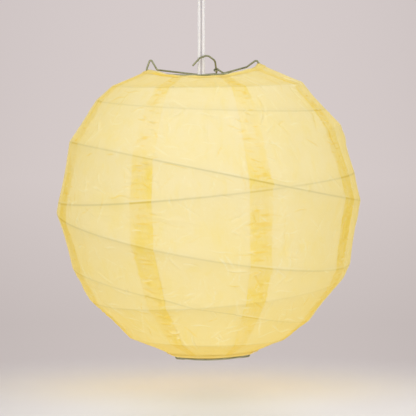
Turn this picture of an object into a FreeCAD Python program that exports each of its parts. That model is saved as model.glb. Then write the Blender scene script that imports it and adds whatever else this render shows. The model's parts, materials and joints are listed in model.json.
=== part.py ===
"""Round paper lantern with free-style hoops, its wire expander, lamp set and ceiling rose.

Millimetres. Z = 0 is the ceiling, +Z up, +X to the right and +Y to the back. The cord hangs down the Z axis.
The shade and its wires are drawn upright about their own centre, then hung slightly askew by hang().
"""
import FreeCAD, Part
import math
import os

V = FreeCAD.Vector
X_AXIS = V(1, 0, 0)
Y_AXIS = V(0, 1, 0)
Z_AXIS = V(0, 0, 1)

# Shade as a whole
SHADE_CENTRE = V(6.7, 0, -245)
LEAN_DEG = -1.8  # the wire hook sits off centre, so the shade leans this much about Y
SHADE_RADIUS = 152.0
GAP = 0.3  # between pieces that move apart
FIT = 0.05  # between fixed pieces that touch

# Paper
PAPER = 0.5
LAYER_GAP = 0.1  # between two laps of paper
GORE_COUNT = 8
GORE_SPAN_DEG = 360 / GORE_COUNT
SEAM_LAP_DEG = 9.0
FIRST_SEAM_DEG = 290.0
TOP_CAP_HEIGHT = 123.5  # above it the paper runs straight to the top ring
BOTTOM_CAP_HEIGHT = -133.0
HEM_WIDTH = 6.0
SLIT_HALF_WIDTH = 2.5

# Rings
RING_WIRE = 0.95
TOP_RING_RADIUS = 55.0
TOP_RING_HEIGHT = 136.0
TOP_RING_FOLD_DEG = 7.0  # front and back halves are pulled down by the paper
BOTTOM_RING_RADIUS = 34.8
BOTTOM_RING_HEIGHT = -152.0

# Hoops: height, rise to the right, rise to the back. Crossing hoops are in different layers.
HOOP_WIRE = 0.6
HOOP_LAYER_GAP = 0.75
OUTER_HOOP_SPHERE = SHADE_RADIUS - 2 * PAPER - LAYER_GAP - GAP - HOOP_WIRE
INNER_HOOP_SPHERE = OUTER_HOOP_SPHERE - 2 * HOOP_WIRE - HOOP_LAYER_GAP
HOOPS = {
    "a": (119.5, -0.020, 0.020, OUTER_HOOP_SPHERE),
    "b": (100.5, -0.066, 0.030, OUTER_HOOP_SPHERE),
    "c": (35.0, -0.235, -0.038, OUTER_HOOP_SPHERE),
    "d": (18.0, 0.069, 0.012, INNER_HOOP_SPHERE),
    "e": (-33.0, -0.202, 0.073, OUTER_HOOP_SPHERE),
    "f": (-92.0, -0.240, 0.011, INNER_HOOP_SPHERE),
    "g": (-82.0, 0.063, 0.066, OUTER_HOOP_SPHERE),
    "h": (-130.0, -0.031, 0.0, OUTER_HOOP_SPHERE),
}

# Wire expander
WIRE = 0.9
WIRE_GAP = 0.1
LEG_OUT = 32.4  # legs stand inside the bottom ring
LEG_TOP = 115.0
LEG_BOTTOM = -140.0
BAR_BACK = 5.2  # the cross bar passes behind the cord
BAR_HEIGHT = 129.8
SHANK_TOP = V(11.6, -2.0, 143.6)  # the straight run that comes down from the crook
SHANK_FOOT = V(13.0, BAR_BACK, BAR_HEIGHT + 0.6)
EYE_RISE = 4.6  # the right wire's eye grips the shank this far above the bar
LEFT_EAR_TOP = 145.8  # each end of the wire humps up over the top ring
RIGHT_EAR_TOP = 142.2
LEFT_EAR_WIDTH = 10.5
RIGHT_EAR_WIDTH = 14.0
EAR_TIP_IN = 4.3  # from the ear's outer side to the middle of its tip
EAR_TIP_HALF = 0.9
HOOK_CORNER_RISE = 1.4
HOOK_BENDS = [1.6, 1.1, 1.1, 2.0, 1.4, 2.5, 12.0]

# Cord: two cores side by side
CORD_LOBE = 1.85
CORD_WEB_HALF = 0.7
CORD_TOP = -11.0
CORD_BOTTOM = -127.0
CORE = 0.7

# Lamp holder
HOLDER_TOP = -116.6
HOLDER_RADIUS = 19.5
HOLDER_WALL = 1.5
HOLDER_HOLE = 5.0
HOLDER_SCREW_OUT = 11.0
SHELL_BOTTOM = -172.0
BASE_TOP = -131.0
BASE_BOTTOM = -139.0
SCREW_SHELL_RADIUS = 13.45
SCREW_SHELL_BOTTOM = -166.0

# Lamp
LAMP_TOP = -140.0
LAMP_THREAD_ROOT = 12.3
LAMP_THREAD_CREST = 0.75
LAMP_THREAD_PITCH = 3.63
LAMP_COLLAR_TOP = -166.3
LAMP_COLLAR_BOTTOM = -188.0
COLLAR_NECK = 13.2
COLLAR_SHOULDER = 15.0
COLLAR_MOUTH = 21.0
GLOBE_RADIUS = 22.5
GLOBE_MOUTH = 20.8
GLOBE_WALL = 1.2

# Ceiling rose
ROSE_RADIUS = 36.0
ROSE_PLATE = 3.0
ROSE_SCREW_SPACING = 51.0
ROSE_SCREW_HOLE = 2.25
COVER_WALL = 2.2
COVER_BOTTOM = -30.0
COVER_TOP = -0.5
COVER_HOLE = 7.5
CLAMP_HALF_WIDTH = 12.0
CLAMP_BOTTOM = -19.0
CLAMP_SCREW_OUT = 8.0
CLAMP_SCREW_HEIGHT = -15.0
TERMINAL_HEIGHT = CORD_TOP + 3.5
TERMINAL_OUT = 6.0
TERMINAL_DEPTHS = (13, 20)  # of the two screws on each terminal, from the cord


def turned(profile):
    """A solid of revolution about Z from (radius, height) corners."""
    corners = [V(radius, 0, height) for radius, height in profile]
    face = Part.Face(Part.makePolygon(corners + corners[:1]))
    return face.revolve(V(0, 0, 0), Z_AXIS, 360)


def rod(radius, start, end):
    return Part.makeCylinder(radius, (end - start).Length, start, end - start)


def block(low, high):
    return Part.makeBox(high.x - low.x, high.y - low.y, high.z - low.z, low)


def fused(shapes):
    return shapes[0].multiFuse(shapes[1:]).removeSplitter()


def rounded_path(points, bends):
    """Straight runs joined by tangent arcs, one bend radius for each inner point."""
    edges = []
    start = points[0]
    for before, corner, after, bend in zip(points, points[1:], points[2:], bends):
        back = (before - corner).normalize()
        ahead = (after - corner).normalize()
        half_turn = (math.pi - back.getAngle(ahead)) / 2
        reach = bend * math.tan(half_turn)
        middle = corner + (back + ahead).normalize() * (bend / math.cos(half_turn) - bend)
        arc_start = corner + back * reach
        arc_end = corner + ahead * reach
        edges.append(Part.makeLine(start, arc_start))
        edges.append(Part.Arc(arc_start, middle, arc_end).toShape())
        start = arc_end
    edges.append(Part.makeLine(start, points[-1]))
    return Part.Wire(edges)


def bent_wire(points, bends, radius=WIRE):
    """A round wire along straight runs and tangent bends."""
    path = rounded_path(points, bends)
    section = Part.Wire(Part.makeCircle(radius, points[0], points[1] - points[0]))
    return path.makePipeShell([section], True, False)


def hang(shape):
    """Moves a shape from the shade's own upright frame to where the shade hangs."""
    placed = shape.copy()
    placed.Placement = FreeCAD.Placement(SHADE_CENTRE, FreeCAD.Rotation(Y_AXIS, LEAN_DEG)) * placed.Placement
    return placed


def save(name, shape):
    if not shape.isValid():
        raise ValueError(name + " is not a valid shape")
    shape.exportStep("parts/" + name + ".step")


# Shade -------------------------------------------------------------------------------------------


def rim_point(radius, angle_deg):
    """A point of the top opening, which dips to the front and the back."""
    angle = math.radians(angle_deg)
    dip = radius * math.sin(math.radians(TOP_RING_FOLD_DEG)) * math.sin(angle) ** 2
    return V(radius * math.cos(angle), radius * math.sin(angle), TOP_RING_HEIGHT - dip)


def level_point(radius, angle_deg, height):
    angle = math.radians(angle_deg)
    return V(radius * math.cos(angle), radius * math.sin(angle), height)


def edge_along(place, start_deg, end_deg):
    """The edge that place(angle) follows: a true arc where it is level, otherwise a smooth curve."""
    steps = 4
    points = [place(start_deg + (end_deg - start_deg) * i / steps) for i in range(steps + 1)]
    if max(abs(point.z - points[0].z) for point in points) < 1e-6:
        return Part.Arc(points[0], points[steps // 2], points[-1]).toShape()
    curve = Part.BSplineCurve()
    curve.interpolate(points)
    return curve.toShape()


def strip(corners, start_deg, end_deg):
    """A thin solid between two angles; corners are its four places in order round the section."""
    edges = [edge_along(place, start_deg, end_deg) for place in corners]
    faces = [Part.makeRuledSurface(edge, following) for edge, following in zip(edges, edges[1:] + edges[:1])]
    for angle in (start_deg, end_deg):
        outline = [place(angle) for place in corners]
        faces.append(Part.Face(Part.makePolygon(outline + outline[:1])))
    shell = Part.Shell(faces)
    shell.sewShape()
    solid = Part.Solid(shell)
    if solid.Volume < 0:
        solid.reverse()
    return solid


def sphere_radius_at(sphere, height):
    return math.sqrt(sphere ** 2 - height ** 2)


def paper_gore(index):
    """One paper gore. Every second gore lies in the outer layer, lapping its neighbours."""
    outer_sphere = SHADE_RADIUS - (index % 2) * (PAPER + LAYER_GAP)
    inner_sphere = outer_sphere - PAPER
    start = FIRST_SEAM_DEG + index * GORE_SPAN_DEG - SEAM_LAP_DEG / 2
    end = start + GORE_SPAN_DEG + SEAM_LAP_DEG

    def sphere_edge(sphere, height):
        radius = sphere_radius_at(sphere, height)
        return lambda angle: level_point(radius, angle, height)

    ball = Part.makeSphere(outer_sphere).cut(Part.makeSphere(inner_sphere))
    size = 2 * SHADE_RADIUS
    depth = TOP_CAP_HEIGHT - BOTTOM_CAP_HEIGHT
    slab = Part.makeCylinder(size, depth, V(0, 0, BOTTOM_CAP_HEIGHT), Z_AXIS, end - start)
    slab.rotate(V(0, 0, 0), Z_AXIS, start)
    body = ball.common(slab)

    layer = (index % 2) * (PAPER + LAYER_GAP)
    rim_outer = TOP_RING_RADIUS + RING_WIRE + 2 * PAPER + 2 * LAYER_GAP - layer
    foot_outer = BOTTOM_RING_RADIUS + RING_WIRE + GAP + 2 * PAPER + LAYER_GAP - layer
    top_corners = [
        lambda a: rim_point(rim_outer, a),
        sphere_edge(outer_sphere, TOP_CAP_HEIGHT),
        sphere_edge(inner_sphere, TOP_CAP_HEIGHT),
        lambda a: rim_point(rim_outer - PAPER, a),
    ]
    bottom_corners = [
        lambda a: level_point(foot_outer, a, BOTTOM_RING_HEIGHT),
        sphere_edge(outer_sphere, BOTTOM_CAP_HEIGHT),
        sphere_edge(inner_sphere, BOTTOM_CAP_HEIGHT),
        lambda a: level_point(foot_outer - PAPER, a, BOTTOM_RING_HEIGHT),
    ]
    whole = body.multiFuse([strip(top_corners, start, end), strip(bottom_corners, start, end)])
    whole = whole.cut(slits(TOP_RING_RADIUS, TOP_RING_HEIGHT))
    return whole.cut(slits(BOTTOM_RING_RADIUS, BOTTOM_RING_HEIGHT))


def slits(ring_radius, ring_height):
    """Slits in the paper at the left and right of a ring, for the expander's bends."""
    low = V(ring_radius - 3, -SLIT_HALF_WIDTH, ring_height - 7)
    high = V(ring_radius + 6, SLIT_HALF_WIDTH, ring_height + 5)
    right = block(low, high)
    return right.fuse(right.mirror(V(0, 0, 0), X_AXIS))


def top_hem():
    """The glued paper strip that binds the top edge, lying on the gores' straight tops."""
    rim_outer = TOP_RING_RADIUS + RING_WIRE + 2 * PAPER + 2 * LAYER_GAP
    joint_radius = sphere_radius_at(SHADE_RADIUS, TOP_CAP_HEIGHT)
    share = HEM_WIDTH / (joint_radius - rim_outer)
    lift = LAYER_GAP + FIT

    def rim(up):
        return lambda a: rim_point(rim_outer, a) + V(0, 0, up)

    def lower_edge(up):
        def place(a):
            rim_end = rim_point(rim_outer, a)
            return rim_end + (level_point(joint_radius, a, TOP_CAP_HEIGHT) - rim_end) * share + V(0, 0, up)

        return place

    corners = [rim(lift), rim(lift + PAPER), lower_edge(lift + PAPER), lower_edge(lift)]
    lengths = []
    for index in range(GORE_COUNT):
        start = FIRST_SEAM_DEG + index * GORE_SPAN_DEG
        lengths.append(strip(corners, start, start + GORE_SPAN_DEG))
    return fused(lengths).cut(slits(TOP_RING_RADIUS, TOP_RING_HEIGHT))


def bottom_hem():
    """The glued paper strip round the bottom opening; it moves with the bottom ring."""
    inside = BOTTOM_RING_RADIUS + RING_WIRE + GAP + 2 * PAPER + LAYER_GAP
    low = BOTTOM_RING_HEIGHT - 2 * GAP
    joint_radius = sphere_radius_at(SHADE_RADIUS, BOTTOM_CAP_HEIGHT)
    rise = (BOTTOM_CAP_HEIGHT - BOTTOM_RING_HEIGHT) / (joint_radius - inside)
    high = low + HEM_WIDTH * rise
    wall = 2 * PAPER
    outside = inside + HEM_WIDTH
    outline = [(inside, low), (outside, high), (outside, high - wall), (inside, low - wall)]
    return turned(outline).cut(slits(BOTTOM_RING_RADIUS, BOTTOM_RING_HEIGHT))


def top_ring():
    """Wire ring folded a little along X, so that its front and back hang lower."""
    halves = []
    for side in (1, -1):
        half = Part.makeTorus(TOP_RING_RADIUS, RING_WIRE, V(0, 0, 0), Z_AXIS, 0, 360, 180)
        half.rotate(V(0, 0, 0), Z_AXIS, 0 if side > 0 else 180)
        half.rotate(V(0, 0, 0), X_AXIS, -side * TOP_RING_FOLD_DEG)
        halves.append(half)
    corners = [Part.makeSphere(RING_WIRE, V(side * TOP_RING_RADIUS, 0, 0)) for side in (1, -1)]
    ring = fused(halves + corners)
    ring.translate(V(0, 0, TOP_RING_HEIGHT))
    return ring


def bottom_ring():
    return Part.makeTorus(BOTTOM_RING_RADIUS, RING_WIRE, V(0, 0, BOTTOM_RING_HEIGHT), Z_AXIS)


def hoop(height, rise_right, rise_back, sphere):
    """A round hoop where its tilted plane cuts the sphere that the hoops lie on."""
    normal = V(-rise_right, -rise_back, 1)
    from_centre = height / normal.Length
    normal.normalize()
    radius = math.sqrt(sphere ** 2 - from_centre ** 2)
    return Part.makeTorus(radius, HOOP_WIRE, normal * from_centre, normal)


# Wire expander -----------------------------------------------------------------------------------


def hook_run(side, ear_top, ear_width):
    """From the cross bar's end over the ring, down outside it, back in under it and down the leg."""
    under = TOP_RING_HEIGHT - RING_WIRE - WIRE - WIRE_GAP
    outside = TOP_RING_RADIUS + RING_WIRE + WIRE + WIRE_GAP
    tip = outside - EAR_TIP_IN
    return [
        V(side * (outside - ear_width), 0, TOP_RING_HEIGHT + 0.2),
        V(side * (tip - EAR_TIP_HALF), 0, ear_top),
        V(side * (tip + EAR_TIP_HALF), 0, ear_top),
        V(side * outside, 0, TOP_RING_HEIGHT + HOOK_CORNER_RISE),
        V(side * (outside - 0.3), 0, under - 1.0),
        V(side * (TOP_RING_RADIUS - 4), 0, under - 2.2),
        V(side * LEG_OUT, 0, LEG_TOP),
        V(side * LEG_OUT, 0, LEG_BOTTOM),
    ]


def left_wire():
    """Crook over the cord, cross bar behind it, left hook and left leg."""
    crook = [
        V(-11.0, -5.4, 139.0),
        V(-3.6, -5.6, 146.6),
        V(4.2, -5.4, 149.4),
        SHANK_TOP,
        SHANK_FOOT,
    ]
    bar = [V(-3.0, BAR_BACK, BAR_HEIGHT)]
    hook = hook_run(-1, LEFT_EAR_TOP, LEFT_EAR_WIDTH)
    return bent_wire(crook + bar + hook, [5, 6, 6, 2.2, 20] + HOOK_BENDS)


def right_wire():
    """Right hook and leg; the inner end is an eye wrapped round the crook's shank."""
    along = (SHANK_TOP - SHANK_FOOT).normalize()
    centre = SHANK_FOOT + along * ((BAR_HEIGHT + EYE_RISE - SHANK_FOOT.z) / along.z)
    eye_radius = 2 * WIRE + WIRE_GAP
    eye = Part.makeTorus(eye_radius, WIRE, centre, along)
    outward = (X_AXIS - along * X_AXIS.dot(along)).normalize()
    low = [centre + outward * eye_radius, V(20.0, 3.0, BAR_HEIGHT + 1.0)]
    hook = hook_run(1, RIGHT_EAR_TOP, RIGHT_EAR_WIDTH)
    arm = bent_wire(low + hook, [2.0] + HOOK_BENDS)
    return fused([arm, eye])


def foot_wire():
    """The springy foot: over the bottom ring on each side, round it, and straight across below."""
    clear = RING_WIRE + WIRE + GAP
    over = BOTTOM_RING_HEIGHT + clear
    under = BOTTOM_RING_HEIGHT - clear
    outside = BOTTOM_RING_RADIUS + clear + 0.1
    left = [
        V(-LEG_OUT, 0, LEG_BOTTOM),
        V(-LEG_OUT, 0, over + 1.6),
        V(-outside, 0, over + 0.6),
        V(-outside, 0, under - 0.6),
        V(-LEG_OUT + 2, 0, under - 1.4),
    ]
    right = [V(-p.x, p.y, p.z) for p in reversed(left)]
    side_bends = [1.5, 1.6, 1.6, 3.0]
    return bent_wire(left + right, side_bends + side_bends[::-1])


# Cord and lamp holder ----------------------------------------------------------------------------


def cord_outline(extra):
    """Figure-eight section of the twin cord, as a solid length from CORD_TOP to CORD_BOTTOM."""
    lobes = []
    for across in (CORD_LOBE, -CORD_LOBE):
        lobes.append(rod(CORD_LOBE + extra, V(across, 0, CORD_BOTTOM), V(across, 0, CORD_TOP)))
    half_web = CORD_WEB_HALF + extra
    web = block(V(-CORD_LOBE, -half_web, CORD_BOTTOM), V(CORD_LOBE, half_web, CORD_TOP))
    return fused(lobes + [web])


def upper_cores():
    """Bare ends from the cord into the terminal block."""
    cores = []
    for side in (1, -1):
        points = [
            V(side * CORD_LOBE, 0, CORD_TOP),
            V(side * CORD_LOBE, 0, TERMINAL_HEIGHT),
            V(side * TERMINAL_OUT, 5.5, TERMINAL_HEIGHT),
            V(side * TERMINAL_OUT, 18, TERMINAL_HEIGHT),
        ]
        cores.append(bent_wire(points, [1.6, 1.6], CORE))
    return Part.makeCompound(cores)


def lower_cores():
    """Bare ends from the cord to the lamp holder's terminals."""
    cores = []
    for side in (1, -1):
        points = [
            V(side * CORD_LOBE, 0, CORD_BOTTOM),
            V(side * CORD_LOBE, 0, CORD_BOTTOM - 2),
            V(side * 7.9, 0, CORD_BOTTOM - 2),
        ]
        cores.append(bent_wire(points, [1.2], CORE))
    return Part.makeCompound(cores)


def holder_cap():
    outline = [
        (HOLDER_HOLE, HOLDER_TOP),
        (9.0, HOLDER_TOP),
        (HOLDER_RADIUS, HOLDER_TOP - 10),
        (HOLDER_RADIUS, HOLDER_TOP - 20),
        (HOLDER_RADIUS - HOLDER_WALL, HOLDER_TOP - 20),
        (HOLDER_RADIUS - HOLDER_WALL, HOLDER_TOP - 11),
        (8.4, HOLDER_TOP - 2.2),
        (HOLDER_HOLE, HOLDER_TOP - 2.2),
    ]
    return turned(outline)


def holder_grip():
    """Bush that holds the cord in the cap."""
    outline = [
        (0, HOLDER_TOP),
        (HOLDER_HOLE - FIT, HOLDER_TOP),
        (HOLDER_HOLE - FIT, HOLDER_TOP - 2.3),
        (7.2, HOLDER_TOP - 2.3),
        (7.2, HOLDER_TOP - 4.5),
        (HOLDER_HOLE - FIT, HOLDER_TOP - 7),
        (0, HOLDER_TOP - 7),
    ]
    return turned(outline).cut(cord_outline(FIT))


def holder_shell():
    outer = HOLDER_RADIUS - HOLDER_WALL - 0.1
    inner = outer - HOLDER_WALL
    outline = [
        (inner, HOLDER_TOP - 11.5),
        (outer, HOLDER_TOP - 11.5),
        (outer, SHELL_BOTTOM + 4),
        (outer + 1.3, SHELL_BOTTOM + 3),
        (outer + 1.3, SHELL_BOTTOM),
        (inner, SHELL_BOTTOM),
    ]
    return turned(outline)


def holder_base():
    radius = HOLDER_RADIUS - 2 * HOLDER_WALL - 0.2
    disc = rod(radius, V(0, 0, BASE_BOTTOM), V(0, 0, BASE_TOP))
    for side in (1, -1):
        across = side * HOLDER_SCREW_OUT
        disc = disc.cut(rod(1.6, V(across, 0, BASE_BOTTOM - 1), V(across, 0, BASE_TOP + 1)))
    return disc


def holder_terminals():
    """Two binding screws on the base."""
    screws = []
    for side in (1, -1):
        across = side * HOLDER_SCREW_OUT
        head = rod(3.0, V(across, 0, BASE_TOP + FIT), V(across, 0, BASE_TOP + 1.6))
        shank = rod(1.6 - FIT, V(across, 0, BASE_TOP - 6), V(across, 0, BASE_TOP + 1))
        slot = block(V(across - 4, -0.4, BASE_TOP + 1), V(across + 4, 0.4, BASE_TOP + 2))
        screws.append(fused([head, shank]).cut(slot))
    return Part.makeCompound(screws)


def holder_screw_shell():
    wall = 0.5
    top = BASE_BOTTOM - FIT
    outline = [
        (SCREW_SHELL_RADIUS - 4, top),
        (SCREW_SHELL_RADIUS + wall, top),
        (SCREW_SHELL_RADIUS + wall, SCREW_SHELL_BOTTOM),
        (SCREW_SHELL_RADIUS, SCREW_SHELL_BOTTOM),
        (SCREW_SHELL_RADIUS, top - wall),
        (SCREW_SHELL_RADIUS - 4, top - wall),
    ]
    return turned(outline)


def holder_contact():
    """Brass tongue that presses on the lamp's tip."""
    top = BASE_BOTTOM - FIT
    return block(V(-2.5, -7, top - 0.5), V(2.5, 7, top))


# Lamp --------------------------------------------------------------------------------------------


def lamp_screw_base():
    """Metal screw cap; the helical thread is drawn as level ridges."""
    low = SCREW_SHELL_BOTTOM + 0.5
    high = LAMP_TOP - 4
    wall = 0.6
    outline = [(LAMP_THREAD_ROOT - wall, low), (LAMP_THREAD_ROOT, low), (LAMP_THREAD_ROOT, high - 2)]
    outline += [(8.5, high), (8.5 - wall, high), (LAMP_THREAD_ROOT - wall, high - 2)]
    ridges = []
    height = low + LAMP_THREAD_PITCH
    while height < high - LAMP_THREAD_PITCH:
        ridges.append(Part.makeTorus(LAMP_THREAD_ROOT - 0.2, LAMP_THREAD_CREST, V(0, 0, height), Z_AXIS))
        height += LAMP_THREAD_PITCH
    bore = rod(LAMP_THREAD_ROOT - wall, V(0, 0, low - 1), V(0, 0, high - 2))
    return fused([turned(outline)] + ridges).cut(bore)


def lamp_insulator():
    outline = [(2.5, LAMP_TOP - 1.2), (4.6, LAMP_TOP - 1.2), (8.4, LAMP_TOP - 3.9), (2.5, LAMP_TOP - 3.9)]
    return turned(outline)


def lamp_tip():
    cap = [(0, LAMP_TOP), (2.6, LAMP_TOP), (4.2, LAMP_TOP - 0.6), (4.2, LAMP_TOP - 1.1)]
    stem = [(2.4, LAMP_TOP - 1.1), (2.4, LAMP_TOP - 3), (0, LAMP_TOP - 3)]
    return turned(cap + stem)


def lamp_collar():
    """Plastic body between the screw cap and the globe; hollow for the driver."""
    wall = 1.6
    outline = [
        (COLLAR_NECK, LAMP_COLLAR_TOP),
        (COLLAR_SHOULDER, LAMP_COLLAR_TOP - 6),
        (COLLAR_MOUTH, LAMP_COLLAR_BOTTOM + 2),
        (COLLAR_MOUTH, LAMP_COLLAR_BOTTOM),
        (COLLAR_MOUTH - wall, LAMP_COLLAR_BOTTOM),
        (COLLAR_MOUTH - wall, LAMP_COLLAR_BOTTOM + 2),
        (COLLAR_SHOULDER - wall, LAMP_COLLAR_TOP - 6),
        (COLLAR_NECK - wall, LAMP_COLLAR_TOP),
    ]
    high = LAMP_COLLAR_TOP
    neck = turned([(11.0, high), (COLLAR_NECK, high), (COLLAR_NECK, high - 1), (11.0, high - 1)])
    return fused([turned(outline), neck])


def lamp_globe():
    """Frosted dome below the collar."""
    height = LAMP_COLLAR_BOTTOM - FIT
    centre = V(0, 0, height - math.sqrt(GLOBE_RADIUS ** 2 - GLOBE_MOUTH ** 2))
    dome = Part.makeSphere(GLOBE_RADIUS, centre).cut(Part.makeSphere(GLOBE_RADIUS - GLOBE_WALL, centre))
    above = rod(2 * GLOBE_RADIUS, V(0, 0, height), V(0, 0, height + 2 * GLOBE_RADIUS))
    return dome.cut(above)


def lamp_board():
    top = LAMP_COLLAR_BOTTOM + 1.7
    return rod(19.0, V(0, 0, top - 1.6), V(0, 0, top))


def lamp_leds():
    """Ring of light-emitting chips on the board."""
    top = LAMP_COLLAR_BOTTOM + 0.1
    chips = []
    count = 8
    for index in range(count):
        place = level_point(12.0, 360 * index / count, top)
        chips.append(block(place - V(1.4, 1.4, 0.8), place + V(1.4, 1.4, -FIT)))
    return Part.makeCompound(chips)


# Ceiling rose ------------------------------------------------------------------------------------


def rose_base():
    """Plate with two fixing holes, a cable entry, a rim and the fixed half of the cord clamp."""
    plate = rod(ROSE_RADIUS, V(0, 0, -ROSE_PLATE), V(0, 0, 0))
    rim_outline = [
        (ROSE_RADIUS - 2, -ROSE_PLATE),
        (ROSE_RADIUS, -ROSE_PLATE),
        (ROSE_RADIUS, -ROSE_PLATE - 6),
        (ROSE_RADIUS - 2, -ROSE_PLATE - 6),
    ]
    clamp = block(V(-CLAMP_HALF_WIDTH, 2.0, CLAMP_BOTTOM), V(CLAMP_HALF_WIDTH, 8, -ROSE_PLATE))
    window = block(V(-8, 1, -10), V(8, 9, -5))
    base = fused([plate, turned(rim_outline), clamp.cut(window)])
    for side in (1, -1):
        fixing = side * ROSE_SCREW_SPACING / 2
        across = side * CLAMP_SCREW_OUT
        base = base.cut(rod(ROSE_SCREW_HOLE, V(fixing, 0, -ROSE_PLATE - 1), V(fixing, 0, 1)))
        base = base.cut(rod(1.35, V(across, 1, CLAMP_SCREW_HEIGHT), V(across, 9, CLAMP_SCREW_HEIGHT)))
    entry = rod(5.0, V(0, -17, -ROSE_PLATE - 1), V(0, -17, 1))
    return base.cut(entry)


def clamp_bar():
    bar = block(V(-CLAMP_HALF_WIDTH, -6.5, CLAMP_BOTTOM), V(CLAMP_HALF_WIDTH, -2.0, -11.5))
    for side in (1, -1):
        across = side * CLAMP_SCREW_OUT
        bar = bar.cut(rod(1.4, V(across, -7, CLAMP_SCREW_HEIGHT), V(across, -1, CLAMP_SCREW_HEIGHT)))
    return bar


def clamp_screws():
    screws = []
    for side in (1, -1):
        across = side * CLAMP_SCREW_OUT
        height = CLAMP_SCREW_HEIGHT
        head = rod(2.6, V(across, -8.4, height), V(across, -6.5 - FIT, height))
        shank = rod(1.35 - FIT, V(across, -7, height), V(across, 6.5, height))
        slot = block(V(across - 3, -9, height - 0.35), V(across + 3, -7.7, height + 0.35))
        screws.append(fused([head, shank]).cut(slot))
    return Part.makeCompound(screws)


def terminal_block():
    body = block(V(-12, 9, -14), V(12, 24, -ROSE_PLATE - FIT))
    for side in (1, -1):
        across = side * TERMINAL_OUT
        body = body.cut(rod(2.65, V(across, 8, TERMINAL_HEIGHT), V(across, 25, TERMINAL_HEIGHT)))
        for depth in TERMINAL_DEPTHS:
            body = body.cut(rod(2.0, V(across, depth, -15), V(across, depth, TERMINAL_HEIGHT)))
    return body


def terminal_inserts():
    """Brass tubes that the bare ends go into."""
    inserts = []
    for side in (1, -1):
        across = side * TERMINAL_OUT
        tube = rod(2.6, V(across, 9.2, TERMINAL_HEIGHT), V(across, 23.8, TERMINAL_HEIGHT))
        tube = tube.cut(rod(1.5, V(across, 9, TERMINAL_HEIGHT), V(across, 24, TERMINAL_HEIGHT)))
        for depth in TERMINAL_DEPTHS:
            hole_foot = V(across, depth, TERMINAL_HEIGHT - 4)
            tube = tube.cut(rod(1.3, hole_foot, V(across, depth, TERMINAL_HEIGHT)))
        inserts.append(tube)
    return Part.makeCompound(inserts)


def terminal_screws():
    screws = []
    for side in (1, -1):
        for depth in TERMINAL_DEPTHS:
            across = side * TERMINAL_OUT
            head = rod(1.9, V(across, depth, -13.8), V(across, depth, -11.5))
            shank = rod(1.25, V(across, depth, -12), V(across, depth, TERMINAL_HEIGHT - 0.8))
            slot = block(V(across - 3, depth - 0.3, -14), V(across + 3, depth + 0.3, -13.1))
            screws.append(fused([head, shank]).cut(slot))
    return Part.makeCompound(screws)


def rose_cover():
    """Cup that slides down the cord to show the terminals."""
    inner = ROSE_RADIUS + GAP
    outer = inner + COVER_WALL
    outline = [
        (inner, COVER_TOP),
        (outer, COVER_TOP),
        (outer, COVER_BOTTOM + 12),
        (outer - 3, COVER_BOTTOM + 4),
        (outer - 9, COVER_BOTTOM),
        (COVER_HOLE, COVER_BOTTOM),
        (COVER_HOLE, COVER_BOTTOM + COVER_WALL),
        (inner - 8, COVER_BOTTOM + COVER_WALL),
        (inner - 3, COVER_BOTTOM + 5.5),
        (inner, COVER_BOTTOM + 12),
    ]
    return turned(outline)


def cover_bush():
    """Bush in the cover's hole, with running room round the cord."""
    outline = [
        (0, COVER_BOTTOM - 3),
        (8.6, COVER_BOTTOM - 3),
        (9.6, COVER_BOTTOM - 1),
        (9.6, COVER_BOTTOM - FIT),
        (COVER_HOLE - 2 * FIT, COVER_BOTTOM - FIT),
        (COVER_HOLE - 2 * FIT, COVER_BOTTOM + 3.5),
        (0, COVER_BOTTOM + 3.5),
    ]
    return turned(outline).cut(cord_outline(GAP + FIT))


def build():
    os.makedirs("parts", exist_ok=True)
    for index in range(GORE_COUNT):
        save("paper_gore_" + str(index + 1), hang(paper_gore(index)))
    save("top_hem", hang(top_hem()))
    save("bottom_hem", hang(bottom_hem()))
    save("top_ring", hang(top_ring()))
    save("bottom_ring", hang(bottom_ring()))
    for name, (height, rise_right, rise_back, sphere) in HOOPS.items():
        save("hoop_" + name, hang(hoop(height, rise_right, rise_back, sphere)))
    save("expander_left_wire", hang(left_wire()))
    save("expander_right_wire", hang(right_wire()))
    save("expander_foot", hang(foot_wire()))
    save("cord", cord_outline(0))
    save("cord_cores_upper", upper_cores())
    save("cord_cores_lower", lower_cores())
    save("holder_cap", holder_cap())
    save("holder_cord_grip", holder_grip())
    save("holder_shell", holder_shell())
    save("holder_base", holder_base())
    save("holder_terminal_screws", holder_terminals())
    save("holder_screw_shell", holder_screw_shell())
    save("holder_contact", holder_contact())
    save("lamp_screw_base", lamp_screw_base())
    save("lamp_insulator", lamp_insulator())
    save("lamp_tip_contact", lamp_tip())
    save("lamp_collar", lamp_collar())
    save("lamp_globe", lamp_globe())
    save("lamp_board", lamp_board())
    save("lamp_leds", lamp_leds())
    save("rose_base", rose_base())
    save("rose_cord_clamp", clamp_bar())
    save("rose_clamp_screws", clamp_screws())
    save("rose_terminal_block", terminal_block())
    save("rose_terminal_inserts", terminal_inserts())
    save("rose_terminal_screws", terminal_screws())
    save("rose_cover", rose_cover())
    save("rose_cover_bush", cover_bush())


build()
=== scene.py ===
"""Looks for the paper lantern pendant: paper, hems and cord round the frame, finishes, light and camera.

Lengths are metres unless a name ends in MM. The shade is worked out in its own upright frame, in millimetres,
and hung by SHADE_PLACE. "From the front" is an angle about the shade's axis, growing towards the right.
"""

import json
import math

import bpy
import numpy as np
from mathutils import Matrix, Vector


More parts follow.
